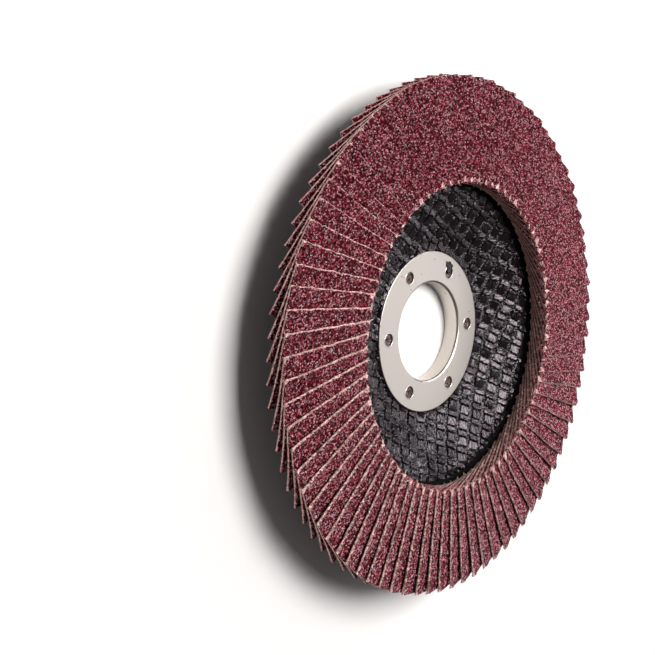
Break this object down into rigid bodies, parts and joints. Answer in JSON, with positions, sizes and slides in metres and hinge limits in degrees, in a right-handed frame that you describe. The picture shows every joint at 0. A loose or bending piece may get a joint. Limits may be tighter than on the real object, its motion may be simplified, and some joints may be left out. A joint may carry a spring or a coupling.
{
  "type": "flap disc",
  "caption": "Dished abrasive flap disc for an angle grinder: overlapping abrasive cloth flaps glued round a resin and glass cloth plate with a steel centre ring.",
  "frame": {"origin": "on the disc's axis, in the plane of the hub's back face", "axes": "+Z along the axis towards the abrasive face; +X and +Y across the disc, with the ring's first key hole 1.6 degrees round from +X"},
  "size_m": [0.115, 0.115, 0.0143],
  "materials": {
    "phenolic_glass_cloth": "coarse black resin-coated weave",
    "nickel_plated_steel": "satin nickel plate",
    "abrasive_cloth": "maroon resin-bonded grit on cloth",
    "black_epoxy": "cured, smooth"
  },
  "bodies": {
    "root": {"adhesive": "black_epoxy", "backing_plate": "phenolic_glass_cloth", "centre_ring": "nickel_plated_steel", "flap_pair_01": "abrasive_cloth", "flap_pair_02": "abrasive_cloth", "flap_pair_03": "abrasive_cloth", "flap_pair_04": "abrasive_cloth", "flap_pair_05": "abrasive_cloth", "flap_pair_06": "abrasive_cloth", "flap_pair_07": "abrasive_cloth", "flap_pair_08": "abrasive_cloth", "flap_pair_09": "abrasive_cloth", "flap_pair_10": "abrasive_cloth", "flap_pair_11": "abrasive_cloth", "flap_pair_12": "abrasive_cloth", "flap_pair_13": "abrasive_cloth", "flap_pair_14": "abrasive_cloth", "flap_pair_15": "abrasive_cloth", "flap_pair_16": "abrasive_cloth", "flap_pair_17": "abrasive_cloth", "flap_pair_18": "abrasive_cloth", "flap_pair_19": "abrasive_cloth", "flap_pair_20": "abrasive_cloth", "flap_pair_21": "abrasive_cloth", "flap_pair_22": "abrasive_cloth", "flap_pair_23": "abrasive_cloth", "flap_pair_24": "abrasive_cloth", "flap_pair_25": "abrasive_cloth", "flap_pair_26": "abrasive_cloth", "flap_pair_27": "abrasive_cloth", "flap_pair_28": "abrasive_cloth", "flap_pair_29": "abrasive_cloth", "flap_pair_30": "abrasive_cloth", "flap_pair_31": "abrasive_cloth", "flap_pair_32": "abrasive_cloth", "flap_pair_33": "abrasive_cloth", "flap_pair_34": "abrasive_cloth", "flap_pair_35": "abrasive_cloth", "flap_pair_36": "abrasive_cloth", "flap_pair_37": "abrasive_cloth", "flap_pair_38": "abrasive_cloth", "flap_pair_39": "abrasive_cloth", "flap_pair_40": "abrasive_cloth"}
  },
  "joints": []
}
